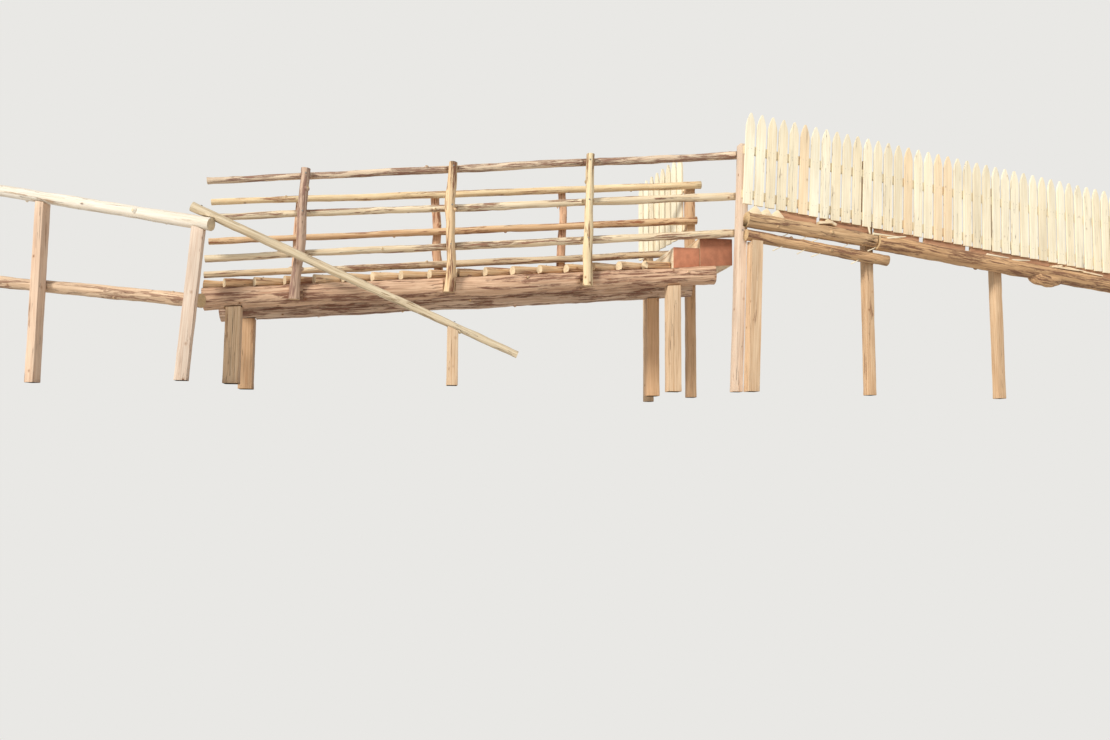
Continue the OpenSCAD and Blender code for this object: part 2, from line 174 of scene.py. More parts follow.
# Each wedge or shim: its place along the fence, its drop below the pickets' feet, its length,
# width and thickness, and its rise in degrees. The first three stand on a corner.
SHIMS = (
    (0.111, 0.086, 0.106, 0.045, 0.104, 45), (0.239, 0.088, 0.100, 0.045, 0.104, 42),
    (0.367, 0.086, 0.104, 0.045, 0.106, 47), (0.93, 0.050, 0.17, 0.060, 0.030, 12),
    (1.00, 0.038, 0.12, 0.050, 0.030, -18), (3.90, 0.046, 0.15, 0.050, 0.022, 13),
    (4.02, 0.057, 0.36, 0.070, 0.018, 1.5), (4.16, 0.042, 0.28, 0.055, 0.016, -2.5),
    (4.40, 0.057, 0.28, 0.065, 0.018, -1),
)
SHIM_OUT = 0.086
BURL_PLACE, BURL_OUT, BURL_DROP = 3.74, 0.092, 0.208
# Each splinter: its place along the fence, its drop below the pickets' feet, how far out it lies,
# its length and its rise in degrees
SPLINTERS = (
    (0.49, 0.245, 0.07, 0.16, 27), (0.69, 0.250, 0.08, 0.14, 32), (0.83, 0.245, 0.09, 0.12, 25),
    (1.18, 0.250, 0.08, 0.13, 30), (1.50, 0.235, 0.10, 0.15, 24), (0.40, 0.400, 0.07, 0.17, 26),
    (0.66, 0.395, 0.08, 0.14, 30), (0.84, 0.400, 0.07, 0.15, 22), (1.30, 0.400, 0.08, 0.14, 28),
    (1.46, 0.060, 0.10, 0.12, -80), (1.66, 0.075, 0.13, 0.36, -2), (1.75, 0.085, 0.15, 0.24, 9),
    (3.10, 0.060, 0.10, 0.30, -4), (3.40, 0.060, 0.11, 0.24, 3),
)


def deck_z(x):
    return DECK_H + x * math.tan(SLOPE)


def heading(turn, rise):
    """Unit vector that points along a timber, turned in plan and rising, in radians."""
    return Vector((math.cos(turn) * math.cos(rise), math.sin(turn) * math.cos(rise),
                   math.sin(rise)))


def leaning(angle):
    """Unit vector up an upright that leans to the bridge's upper end, in radians."""
    return Vector((math.sin(angle), 0, math.cos(angle)))


FENCE_ALONG = heading(FENCE_TURN, 0)
FENCE_OUT = Vector((math.sin(FENCE_TURN), -math.cos(FENCE_TURN), 0))


def below_feet(x, far_out, drop):
    """A place along the fence, so far out from its line and so far below the pickets' feet."""
    spot = FENCE_START + FENCE_ALONG * x + FENCE_OUT * far_out
    spot.z = FENCE_FOOT_H - drop - x * math.tan(FENCE_FALL)
    return spot


# Materials

def linear(hex_colour):
    """An sRGB hex colour as linear RGBA."""
    channels = [int(hex_colour[i:i + 2], 16) / 255 for i in (1, 3, 5)]
    return tuple(c / 12.92 if c <= 0.04045 else ((c + 0.055) / 1.055) ** 2.4
                 for c in channels) + (1.0,)


def add(tree, kind, links=None, **settings):
    """Adds a shader node. links gives each input a value, or the output socket that feeds it."""
    node = tree.nodes.new(kind)
    for name, value in settings.items():
        setattr(node, name, value)
    for name, value in (links or {}).items():
        if isinstance(value, bpy.types.NodeSocket):
            tree.links.new(value, node.inputs[name])
        else:
            node.inputs[name].default_value = value
    return node


def compute(tree, operation, *values):
    """The outcome of one arithmetic node."""
    return add(tree, "ShaderNodeMath", dict(enumerate(values)), operation=operation).outputs[0]


def ramp(tree, factor, stops):
    """A colour ramp through (place, hex colour or grey level) stops."""
    node = add(tree, "ShaderNodeValToRGB", {"Fac": factor})
    marks = node.color_ramp.elements
    while len(marks) < len(stops):
        marks.new(0.5)
    for mark, (place, value) in zip(marks, stops):
        mark.position = place
        mark.color = linear(value) if isinstance(value, str) else (value, value, value, 1)
    return node.outputs["Color"]


def blend_colour(tree, factor, below, above, how="MIX"):
    node = add(tree, "ShaderNodeMix", {"Factor": factor}, data_type="RGBA", blend_type=how)
    for socket, value in ((node.inputs[6], below), (node.inputs[7], above)):
        if isinstance(value, bpy.types.NodeSocket):
            tree.links.new(value, socket)
        else:
            socket.default_value = linear(value)
    return node.outputs[2]


def timber_sockets(tree):
    """Each point's place in its own timber, and that timber's tone."""
    return (add(tree, "ShaderNodeAttribute", attribute_name="grain").outputs["Vector"],
            add(tree, "ShaderNodeAttribute", attribute_name="tone").outputs["Fac"])


def stretched(tree, vector, along, around):
    """The timber's own coordinates, scaled along the grain and across it, in patterns a metre."""
    return add(tree, "ShaderNodeVectorMath", {0: vector, 1: (along, around, around)},
               operation="MULTIPLY").outputs[0]


def noise(tree, grain, along, around, detail, rough=0.6, distortion=0.0):
    return add(tree, "ShaderNodeTexNoise", {
        "Vector": stretched(tree, grain, along, around), "Scale": 1.0, "Detail": detail,
        "Roughness": rough, "Distortion": distortion}).outputs["Fac"]


def new_material(name):
    material = bpy.data.materials.new(name)
    material.use_nodes = True
    material.node_tree.nodes.clear()
    return material, material.node_tree


def close_shader(tree, colour, roughness, height, depth):
    """Ends a wood material: its colour, its roughness and a bump of a real depth in metres."""
    bump = add(tree, "ShaderNodeBump", {"Height": height, "Distance": depth, "Strength": 1.0})
    shader = add(tree, "ShaderNodeBsdfPrincipled", {
        "Base Color": colour, "Roughness": roughness, "IOR": 1.5,
        "Normal": bump.outputs["Normal"]})
    add(tree, "ShaderNodeOutputMaterial", {"Surface": shader.outputs["BSDF"]})


def long_grain(name, pale, dark, bark, bark_share, roughness):
    """Side grain of spruce, peeled with an iron or hewn with an axe. The fibre bands are 12 mm
    wide and half a metre long, drawn coarser than real fibres. Patches of reddish inner bark, 20
    to 60 cm long, are left where the peeling iron passed over, and there are knots about 20 mm
    across and thin drying checks. A share below nought stands for sawn boards, with no bark and
    with faint knots."""
    material, tree = new_material(name)
    grain, tone = timber_sockets(tree)
    sawn = bark_share < 0

    fibres = noise(tree, grain, 2.0, 80.0, 5.0, 0.65)
    patches = noise(tree, grain, 1.5, 17.0, 7.0, 0.62, 0.6)
    shreds = noise(tree, grain, 5.0, 70.0, 4.0, 0.7)
    weather = noise(tree, grain, 1.3, 6.0, 3.0)
    splits = noise(tree, grain, 0.9, 30.0, 2.0, 0.5, 0.2)
    where = noise(tree, grain, 0.8, 9.0, 1.0)
    knots = add(tree, "ShaderNodeTexVoronoi", {
        "Vector": stretched(tree, grain, 5.2, 6.2), "Scale": 1.0,
        "Randomness": 1.0}).outputs["Distance"]

    colour = ramp(tree, fibres, [(0.32, dark), (0.60, pale)])
    tint = ramp(tree, weather, [(0.36, 0.86), (0.62, 1.0)])
    colour = blend_colour(tree, 1.0, colour, tint, "MULTIPLY")
    shade = ramp(tree, tone, [(0.0, "#F8E9DB"), (0.35, "#F4EFE8"), (1.0, "#FFFFFF")])
    colour = blend_colour(tree, 1.0, colour, shade, "MULTIPLY")

    edge = 0.5 + 0.27 * (0.5 - bark_share)
    bark_mask = ramp(tree, patches, [(edge, 0.0), (edge + 0.03, 1.0)])
    worn = ramp(tree, shreds, [(0.40, 0.0), (0.53, 1.0)])
    bark_mask = compute(tree, "MULTIPLY", bark_mask, worn)
    bark_tint = ramp(tree, shreds, [(0.40, 0.72), (0.64, 1.0)])
    bark_colour = blend_colour(tree, 1.0, bark, bark_tint, "MULTIPLY")
    bark_colour = blend_colour(tree, 1.0, bark_colour, shade, "MULTIPLY")
    colour = blend_colour(tree, bark_mask, colour, bark_colour)

    halo = ramp(tree, knots, [(0.06, 1.0), (0.13, 0.0)])
    halo = compute(tree, "MULTIPLY", halo, 0.15 if sawn else 0.45)
    colour = blend_colour(tree, halo, colour, "#9A6A42")
    knot_mask = ramp(tree, knots, [(0.035, 0.35 if sawn else 1.0), (0.062, 0.0)])
    colour = blend_colour(tree, knot_mask, colour, "#74492C")

    split_mask = ramp(tree, splits, [(0.494, 0.0), (0.5, 1.0), (0.506, 0.0)])
    here = ramp(tree, where, [(0.50, 0.0), (0.56, 0.85)])
    split_mask = compute(tree, "MULTIPLY", split_mask, here)
    colour = blend_colour(tree, split_mask, colour, "#523823")

    rough = add(tree, "ShaderNodeMapRange", {
        "Value": fibres, "To Min": roughness - 0.08, "To Max": roughness + 0.08}).outputs["Result"]
    relief = compute(tree, "MULTIPLY", fibres, 0.25)
    for mask, height in ((bark_mask, 0.45), (knot_mask, 0.4), (split_mask, -0.9)):
        relief = compute(tree, "MULTIPLY_ADD", mask, height, relief)
    close_shader(tree, colour, rough, relief, 0.004)
    return material


def end_grain(name, pale, dark):
    """A sawn end. It shows growth rings 7 mm apart, coarser than real ones, and stains about
    70 mm across."""
    material, tree = new_material(name)
    grain, tone = timber_sockets(tree)
    section = add(tree, "ShaderNodeVectorMath", {0: grain, 1: (0, 1, 1)},
                  operation="MULTIPLY").outputs[0]
    radius = add(tree, "ShaderNodeVectorMath", {0: section}, operation="LENGTH").outputs["Value"]
    waver = noise(tree, grain, 10, 26, 3.0, 0.5)
    turns = compute(tree, "MULTIPLY", waver, 2.5)
    turns = compute(tree, "MULTIPLY_ADD", radius, 2 * math.pi / 0.007, turns)
    rings = compute(tree, "SINE", turns)
    rings = add(tree, "ShaderNodeMapRange", {"Value": rings, "From Min": -1.0}).outputs["Result"]
    colour = ramp(tree, rings, [(0.15, dark), (0.75, pale)])
    shade = ramp(tree, tone, [(0.0, 0.86), (1.0, 1.06)])
    colour = blend_colour(tree, 1.0, colour, shade, "MULTIPLY")
    stains = noise(tree, grain, 14, 14, 4.0, 0.5)
    stain_tint = ramp(tree, stains, [(0.38, 0.82), (0.60, 1.0)])
    colour = blend_colour(tree, 1.0, colour, stain_tint, "MULTIPLY")
    close_shader(tree, colour, 0.85, rings, 0.001)
    return material


# Each look: pale and dark side grain, inner bark and its share, roughness, pale and dark end grain
LOOKS = {
    "barked beam": ("#E8CDB2", "#B48B70", "#8A634F", 0.50, 0.76, "#E8CFA2", "#C79E6C"),
    "barky rail": ("#EFDDC2", "#CBAA8E", "#98725F", 0.60, 0.74, "#E8CFA2", "#C79E6C"),
    "patchy rail": ("#F6E8CB", "#DCC19A", "#9C745C", 0.44, 0.72, "#EBD5AC", "#CDA673"),
    "golden rail": ("#F5E0B6", "#DAB482", "#A67450", 0.38, 0.72, "#EBD5AC", "#CDA673"),
    "tan rail": ("#F3D7B0", "#D4A678", "#A66D4A", 0.42, 0.72, "#EBD5AC", "#CDA673"),
    "grey rail": ("#EBE0C6", "#C7B391", "#A8906F", 0.30, 0.74, "#E8D9B8", "#C6AA80"),
    # The handrail's near-white colour is painted sunlight, a blown-out highlight laid into its wood
    # colour.
    "painted-sunlight log": ("#FBF7EE", "#EADFCA", "#CCAE90", 0.10, 0.70, "#F1DFBE", "#D2B488"),
    "edge log": ("#E9D5BB", "#C6A88B", "#9E7B65", 0.44, 0.76, "#E8CFA2", "#C79E6C"),
    "deck pole": ("#F0D1A8", "#CB9C6A", "#A27052", 0.40, 0.72, "#F4E4C2", "#D2AE80"),
    "hewn timber": ("#E0C4A2", "#C29C76", "#A67F60", 0.08, 0.78, "#E4C79C", "#BF9465"),
    "hewn newel": ("#EAD7C3", "#D2B49C", "#B69379", 0.06, 0.78, "#E4C79C", "#BF9465"),
    "barky post": ("#DBBFA8", "#B49480", "#987667", 0.46, 0.74, "#E4C79C", "#BF9465"),
    "streaked post": ("#F3DCB6", "#D0AC80", "#8E6248", 0.44, 0.74, "#E4C79C", "#BF9465"),
    "peeled post": ("#F3E0B8", "#D6B688", "#936846", 0.38, 0.74, "#E4C79C", "#BF9465"),
    "ruddy post": ("#EAC6A6", "#C49372", "#A6704F", 0.40, 0.74, "#E4C79C", "#BF9465"),
    # The steps' pale cream side grain is painted sunlight and their terracotta end grain is painted
    # shade: lit and shaded copies of one sawn spruce.
    "painted-light step timber": ("#F4E7CE", "#DCC49E", "#C09A74", 0.08, 0.76, "#CC8C69", "#B06A4D"),
    "picket board": ("#FBF2D9", "#EFDFBC", "#E0BE92", -1.0, 0.72, "#F0E2BE", "#D4BC8C"),
    # The boards behind the pickets' feet are dark brown as painted shade for the gap they fill.
    "foot board": ("#D6AB8A", "#AC7D5E", "#92654D", 0.20, 0.80, "#E4C79C", "#BF9465"),
    "sill log": ("#DDBC92", "#AA835E", "#86624A", 0.46, 0.78, "#E9CE9F", "#C29766"),
}
FINISHES = {}


def finish(look):
    """The side and end materials of one look."""
    if look not in FINISHES:
        pale, dark, bark, share, rough, end_pale, end_dark = LOOKS[look]
        FINISHES[look] = (long_grain(f"spruce {look}", pale, dark, bark, share, rough),
                          end_grain(f"sawn end of {look}", end_pale, end_dark))
    return FINISHES[look]


def galvanised(name="galvanised steel"):
    """Hot-dipped nail and spike heads, with dull zinc spangles 2 mm across."""
    if name not in FINISHES:
        material, tree = new_material(name)
        place = add(tree, "ShaderNodeTexCoord").outputs["Object"]
        spangles = add(tree, "ShaderNodeTexVoronoi", {
            "Vector": place, "Scale": 500.0}).outputs["Color"]
        colour = ramp(tree, spangles, [(0.0, "#77756F"), (1.0, "#A5A39C")])
        bump = add(tree, "ShaderNodeBump", {"Height": spangles, "Distance": 0.0002})
        shader = add(tree, "ShaderNodeBsdfPrincipled", {
            "Base Color": colour, "Metallic": 0.9, "Roughness": 0.5,
            "Normal": bump.outputs["Normal"]})
        add(tree, "ShaderNodeOutputMaterial", {"Surface": shader.outputs["BSDF"]})
        FINISHES[name] = (material,)
    return FINISHES[name]


# Modelling by hand-like steps

def only(piece):
    """Leaves this piece alone selected and active, in object mode."""
    bpy.ops.object.select_all(action="DESELECT")
    piece.select_set(True)
    bpy.context.view_layer.objects.active = piece


def dress(piece, materials):
    for material in materials:
        piece.data.materials.append(material)


def copy_of(node, name, look):
    """A clean copy of a node's solid: its loose triangles merged and its flat faces made whole."""
    only(frame["nodes"][node])
    bpy.ops.object.duplicate(linked=False)
    piece = bpy.context.view_layer.objects.active
    piece.name = name
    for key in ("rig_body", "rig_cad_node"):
        if key in piece:
            del piece[key]
    piece.data.materials.clear()
    dress(piece, finish(look))
    only(piece)
    bpy.ops.object.mode_set(mode="EDIT")
    bpy.ops.mesh.select_all(action="SELECT")
    bpy.ops.mesh.remove_doubles(threshold=0.00002)
    bpy.ops.mesh.dissolve_limited(angle_limit=math.radians(0.8))
    bpy.ops.object.mode_set(mode="OBJECT")
    return piece


def reach_along(piece, start, way):
    """How far the piece reaches along a way, below and beyond its start."""
    reaches = [(v.co - start).dot(way) for v in piece.data.vertices]
    return min(reaches), max(reaches)


def slice_along(piece, start, way, step):
    """Cuts a timber across every so often, so that it can be uneven along its length."""
    low, high = reach_along(piece, start, way)
    count = max(1, int((high - low) / step))
    bpy.ops.object.mode_set(mode="EDIT")
    for i in range(1, count):
        bpy.ops.mesh.select_all(action="SELECT")
        bpy.ops.mesh.bisect(plane_co=start + way * (low + (high - low) * i / count), plane_no=way)
    bpy.ops.object.mode_set(mode="OBJECT")


def apply_modifier(piece, kind, **settings):
    modifier = piece.modifiers.new(kind.title(), kind)
    for name, value in settings.items():
        setattr(modifier, name, value)
    bpy.ops.object.modifier_apply(modifier=modifier.name)


def wear_edges(piece, width, segments=2, angle=40):
    """Rounds the arrises that are sharper than an angle in degrees."""
    apply_modifier(piece, "BEVEL", width=width, segments=segments, limit_method="ANGLE",
                   angle_limit=math.radians(angle))


def cloud(name, size, depth=2):
    texture = bpy.data.textures.get(name) or bpy.data.textures.new(name, "CLOUDS")
    texture.noise_scale = size
    texture.noise_depth = depth
    return texture


def displace(piece, texture, strength, mid_level, direction="NORMAL", group=""):
    """Moves the surface by a cloud texture that stands still in the frame."""
    apply_modifier(piece, "DISPLACE", texture=texture, texture_coords="GLOBAL", strength=strength,
                   mid_level=mid_level, direction=direction, vertex_group=group)


def hold_feet(piece):
    """A vertex group of all that stands clear of the floor, which unevenness may move."""
    group = piece.vertex_groups.new(name="clear of the floor")
    free = [v.index for v in piece.data.vertices if v.co.z > 0.01]
    group.add(free, 1.0, "REPLACE")
    return group.name


def roughen(piece, swell, size):
    """Uneven girth, as a peeled log has it, a little inwards from the solid."""
    displace(piece, cloud(f"girth {size}", size), swell, 0.72, group=hold_feet(piece))


def bend(piece, amount, ways):
    """Lets a log wander from its straight axis, in each of the ways named."""
    for name, size, direction in ways:
        displace(piece, cloud(name, size, 1), amount, 0.5, direction, hold_feet(piece))


def write_grain(piece, places):
    """Writes each vertex's place in its own timber: along the grain and across its section."""
    mesh = piece.data
    grain, tone = [], []
    for vertex in mesh.vertices:
        origin, way, side, shift, level = places(vertex.co)
        offset = vertex.co - origin
        grain += (offset.dot(way) + shift, offset.dot(side), offset.dot(way.cross(side)))
        tone.append(level)
    mesh.attributes.new("grain", "FLOAT_VECTOR", "POINT").data.foreach_set("vector", grain)
    mesh.attributes.new("tone", "FLOAT", "POINT").data.foreach_set("value", tone)


def mark_ends(piece, ways):
    """Gives the faces that look along the timber the end-grain material."""
    for face in piece.data.polygons:
        if abs(face.normal.dot(ways(face.center))) > 0.85:
            face.material_index = 1


def finish_piece(piece, node, places, angle=40):
    """Writes the grain, marks the sawn ends and puts the piece in its node's place."""
    write_grain(piece, places)
    mark_ends(piece, lambda co: places(co)[1])
    only(piece)
    bpy.ops.object.shade_smooth_by_angle(angle=math.radians(angle))
    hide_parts(node)
    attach(piece, "root")


def sidewise(way):
    side = UP.cross(way)
    if side.length < 0.1:
        side = Vector((0, 1, 0)).cross(way)
    return side.normalized()


def one_timber(seed, start, way, pith=0.0):
    """The same place for every vertex of a single timber."""
    dice = random.Random(seed)
    shift, level = dice.uniform(0, 90), dice.random()
    side = sidewise(way)
    up = way.cross(side)
    origin = start + side * dice.uniform(-pith, pith) + up * dice.uniform(-pith, pith)
    return lambda co: (origin, way, side, shift, level)


def cone(sides, foot, top, length, spot, rotation):
    """A cone with a foot and a top radius, centred on a spot."""
    bpy.ops.mesh.primitive_cone_add(vertices=sides, radius1=foot, radius2=top, depth=length,
                                    location=spot, rotation=rotation)
    return bpy.context.active_object


def facing(out):
    """The rotation that turns a cone's top to look this way."""
    return out.to_track_quat("Z", "Y").to_euler()


def heads(name, spots, radius):
    """Nail or spike heads, each at a spot and along the way that it was driven from."""
    made = [cone(9, radius, radius * 0.7, radius * 0.6, spot, facing(out)) for spot, out in spots]
    join(name, made, galvanised(), 30)


def join(name, made, materials, angle):
    """Joins small pieces into one that rides on the bridge, with its origin at the frame's."""
    bpy.ops.object.select_all(action="DESELECT")
    for piece in made:
        piece.select_set(True)
    bpy.context.view_layer.objects.active = made[0]
    bpy.ops.object.join()
    bpy.ops.object.transform_apply(location=True, rotation=True, scale=True)
    piece = made[0]
    piece.name = name
    dress(piece, materials)
    bpy.ops.object.shade_smooth_by_angle(angle=math.radians(angle))
    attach(piece, "root")
    return piece


def add_stubs(piece, look, start, way, radius, count, seed):
    """Stubs of branches that were axed off close to the log, as cones that are joined to it."""
    dice = random.Random(seed)
    low, high = reach_along(piece, start, way)
    side = sidewise(way)
    up = way.cross(side)
    made = []
    for i in range(count):
        reach = low + (high - low) * (i + dice.uniform(0.2, 0.8)) / count
        turn = dice.uniform(0, 2 * math.pi)
        out = (side * math.cos(turn) + up * math.sin(turn) + way * 0.35).normalized()
        wide = dice.uniform(0.009, 0.015)
        stub = cone(12, wide * 2.0, wide, 0.020, start + way * reach + out * (radius + 0.003),
                    facing(out))
        only(stub)
        bpy.ops.object.transform_apply(location=True, rotation=True, scale=True)
        dress(stub, finish(look))
        for face in stub.data.polygons:
            if face.normal.dot(out) > 0.9:
                face.material_index = 1
        made.append(stub)
    only(piece)
    for stub in made:
        stub.select_set(True)
    bpy.ops.object.join()


def round_log(node, look, start, way, swell, stubs, radius, wander=0.0,
              ways=(("sag", 1.15, "Z"), ("sway", 0.95, "Y"))):
    """A peeled log of uneven girth with stubs of branches, which may wander in the ways named."""
    piece = copy_of(node, f"{node}_log", look)
    slice_along(piece, start, way, step=0.06)
    if wander:
        bend(piece, wander, ways)
    roughen(piece, swell, size=0.34)
    roughen(piece, swell * 0.6, size=0.09)
    add_stubs(piece, look, start, way, radius, stubs, f"{node} stubs")
    finish_piece(piece, node, one_timber(node, start, way))


def hewn_post(node, look, start, way, bevel):
    """A squared timber with worn arrises and the marks of the axe."""
    piece = copy_of(node, f"{node}_timber", look)
    wear_edges(piece, bevel)
    slice_along(piece, start, way, step=0.08)
    roughen(piece, 0.006, size=0.20)
    roughen(piece, 0.003, size=0.05)
    finish_piece(piece, node, one_timber(node, start, way, pith=0.03), angle=30)


# Operators, one for each group of like pieces

class FOOTBRIDGE_OT_beams(bpy.types.Operator):
    """Finishes the two beams and their four legs"""
    bl_idname = "footbridge.beams"
    bl_label = "Beams and Legs"

    def execute(self, context):
        sizes = context.scene.footbridge_logs
        for side, y in (("near", 0.0), ("far", 2 * MIDDLE_Y)):
            round_log(f"{side}_beam", "barked beam", Vector((BEAM_LEFT, y, BEAM_AXIS_H)),
                      heading(0, SLOPE), sizes.swell * 1.5, stubs=9, radius=0.108)
            for end, x in LEG_X.items():
                hewn_post(f"{side}_{end}_leg", "hewn timber", Vector((x, y, 0)), UP, sizes.arris)
        return {"FINISHED"}


class FOOTBRIDGE_OT_deck(bpy.types.Operator):
    """Finishes the skewed poles of the deck and spikes them to the beams"""
    bl_idname = "footbridge.deck"
    bl_label = "Deck Poles"

    def execute(self, context):
        sizes = context.scene.footbridge_logs
        way = Matrix.Rotation(-SLOPE, 3, "Y") @ heading(POLE_SKEW, 0)
        side = sidewise(way)
        base = Vector((0, MIDDLE_Y - POLE_SIDE, DECK_H))
        along, up = heading(0, SLOPE), leaning(-SLOPE)
        first = base - along * POLE_FIRST - up * POLE_R

        def places(co):
            offset = co - first
            across = offset.dot(along) * math.sin(POLE_SKEW) - offset.y * math.cos(POLE_SKEW)
            pole = round(across / (POLE_PITCH * math.sin(POLE_SKEW)))
            dice = random.Random(f"pole {pole}")
            return first + along * POLE_PITCH * pole, way, side, dice.uniform(0, 90), dice.random()

        for part in (1, 2, 3, 4):
            node = f"deck_poles_{part}"
            piece = copy_of(node, f"{node}_peeled", "deck pole")
            slice_along(piece, base, way, 0.08)
            roughen(piece, sizes.swell * 1.3, 0.16)
            finish_piece(piece, node, places)

        spots = []
        for y in (0.0, 2 * MIDDLE_Y):
            run = (y - MIDDLE_Y + POLE_SIDE) / math.tan(POLE_SKEW)
            for pole in POLE_NUMBERS:
                reach = pole * POLE_PITCH - POLE_FIRST + run
                if SPIKED_LEFT < reach < SPIKED_RIGHT:
                    spots.append((Vector((0, y, DECK_H)) + along * reach - up * 0.003, up))
        heads("deck_spikes", spots, DECK_SPIKE_R)
        return {"FINISHED"}


class FOOTBRIDGE_OT_steps(bpy.types.Operator):
    """Finishes the two timbers of the steps: their pale sides are painted sunlight and their
    terracotta sawn ends are painted shade
    """
    bl_idname = "footbridge.steps"
    bl_label = "Steps"

    def execute(self, context):
        sizes = context.scene.footbridge_logs
        for node, pith in STEP_PITHS.items():
            hewn_post(node, "painted-light step timber", pith, Vector((0, 1, 0)), sizes.arris)
        return {"FINISHED"}


class FOOTBRIDGE_OT_railings(bpy.types.Operator):
    """Finishes the rails and the posts of both railings and spikes them together"""
    bl_idname = "footbridge.railings"
    bl_label = "Railings"

    def execute(self, context):
        sizes = context.scene.footbridge_logs
        for node, (look, x, z, rise) in RAILS.items():
            sign = -1 if node.startswith("near") else 1
            round_log(node, look, Vector((x, MIDDLE_Y + sign * RAIL_Y, z)),
                      heading(0, math.radians(rise)), sizes.swell, stubs=4, radius=0.036,
                      wander=sizes.wander)
        spots = []
        for side, sign in (("near", -1), ("far", 1)):
            for i, (x, lean) in enumerate(POSTS[side]):
                way = leaning(math.radians(lean))
                if i < ROUND_POSTS:
                    look = NEAR_POST_LOOKS[i] if sign < 0 else "ruddy post"
                    crook = sizes.crook * (1.7 if i == 1 else 1.0)
                    start = Vector((x, MIDDLE_Y + sign * POST_Y, deck_z(x)))
                    round_log(f"{side}_post_{i + 1}", look, start, way, sizes.swell * 0.8,
                              stubs=2, radius=0.044, wander=crook, ways=(("crook", 0.55, "X"),))
                else:
                    look = "hewn newel" if sign < 0 else "hewn timber"
                    start = Vector((x, MIDDLE_Y + sign * END_POST_Y, deck_z(x)))
                    hewn_post(f"{side}_end_post", look, start, way, sizes.arris)
                face = POST_FACE_Y if i < ROUND_POSTS else END_POST_FACE_Y
                for node, (_, left, height, rise) in RAILS.items():
                    if node.startswith(side):
                        reach = height + (x - left) * math.tan(math.radians(rise)) - deck_z(x)
                        spots.append((Vector((x, MIDDLE_Y + sign * face, deck_z(x)))
                                      + way * reach, Vector((0, sign, 0))))
        heads("railing_spikes", spots, RAIL_SPIKE_R)
        return {"FINISHED"}


class FOOTBRIDGE_OT_handrail(bpy.types.Operator):
    """Finishes the handrail, its posts, the edge log and the descending rail with its post"""
    bl_idname = "footbridge.handrail"
    bl_label = "Handrail"

    def execute(self, context):
        sizes = context.scene.footbridge_logs
        turn = math.pi - HANDRAIL_TURN
        inward = Vector((math.sin(turn), -math.cos(turn), 0))
        # The handrail's near-white look is painted sunlight.
        round_log("handrail", "painted-sunlight log", NEWEL + UP * HANDRAIL_H,
                  heading(turn, HANDRAIL_RISE), sizes.swell, stubs=6, radius=0.060)
        round_log("edge_log", "edge log", NEWEL + inward * EDGE_LOG_INWARD + UP * EDGE_LOG_H,
                  heading(turn, EDGE_RISE), sizes.swell * 1.4, stubs=5, radius=0.064)
        round_log("descending_rail", "grey rail", NEWEL + UP * DESCENT_H, heading(0, -DESCENT),
                  sizes.swell, stubs=4, radius=0.042)
        hewn_post("newel_post", "hewn newel", NEWEL + UP * NEWEL_H, leaning(NEWEL_LEAN),
                  sizes.arris)
        for i in (1, 2):
            hewn_post(f"handrail_post_{i}", "hewn newel",
                      NEWEL + heading(turn, 0) * HANDRAIL_BAY * i, UP, sizes.arris)
        hewn_post("short_post", "hewn timber", Vector((SHORT_POST_X, NEWEL.y, 0)), UP,
                  sizes.arris)
        over = leaning(DESCENT)
        fall = (SHORT_POST_X - NEWEL.x) * math.tan(DESCENT)
        spots = [(NEWEL + UP * DESCENT_H + over * 0.0475, over),
                 (Vector((SHORT_POST_X, NEWEL.y, DESCENT_H - fall)) + over * 0.0415, over)]
        heads("handrail_spikes", spots, RAIL_SPIKE_R)
        return {"FINISHED"}


